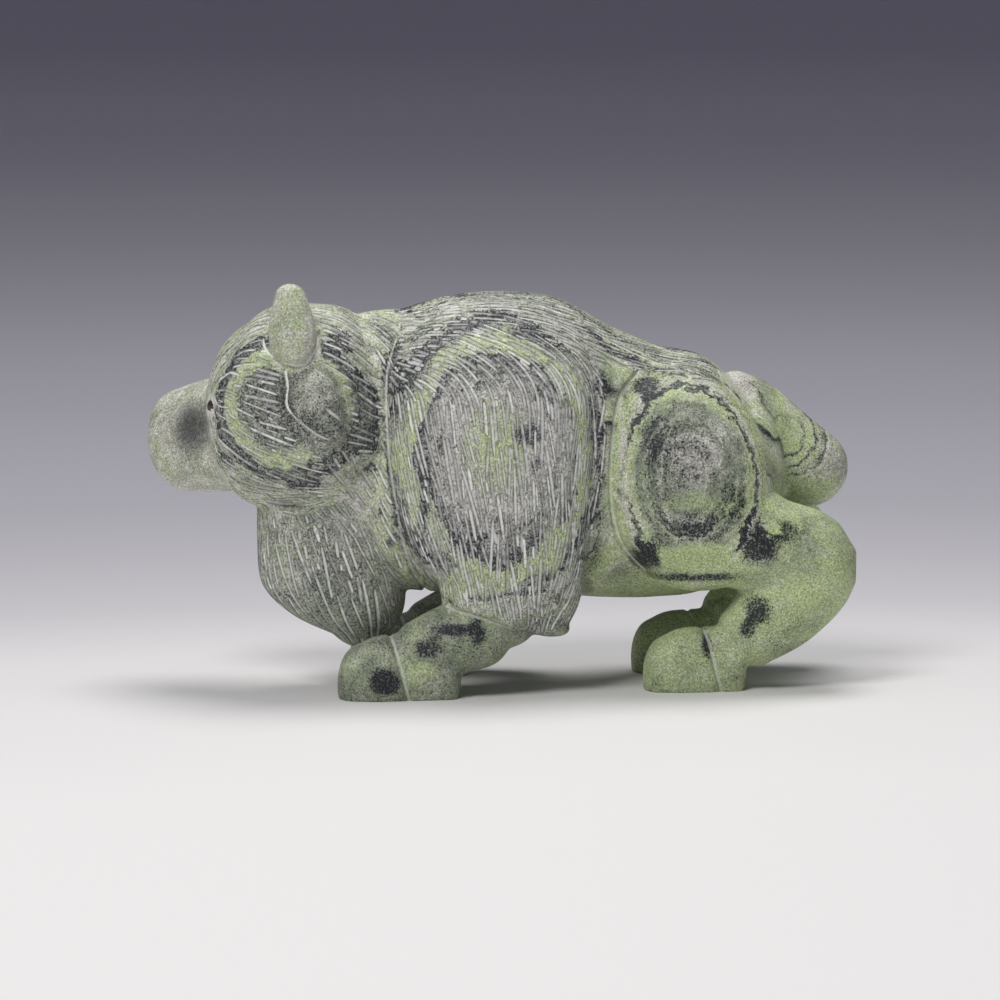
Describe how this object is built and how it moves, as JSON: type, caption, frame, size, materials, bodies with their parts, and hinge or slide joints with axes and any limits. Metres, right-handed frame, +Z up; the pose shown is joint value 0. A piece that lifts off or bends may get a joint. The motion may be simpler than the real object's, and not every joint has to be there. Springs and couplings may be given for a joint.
{
  "type": "serpentine buffalo fetish carving",
  "caption": "Small buffalo carved from one piece of banded green serpentine, striding, head turned aside, with incised fur and inlaid dark eyes.",
  "frame": {"origin": "middle of the bounding box, on the ground plane that the four soles stand on", "axes": "+X towards the tail, the animal faces -X; -Y is its left side; +Z up"},
  "size_m": [0.1028, 0.0354, 0.0593],
  "materials": {
    "serpentine": "satin polish, chalky in the cuts",
    "eye_stone": "polished"
  },
  "bodies": {
    "root": {"buffalo": "serpentine", "eye_left": "eye_stone", "eye_right": "eye_stone"}
  },
  "joints": []
}
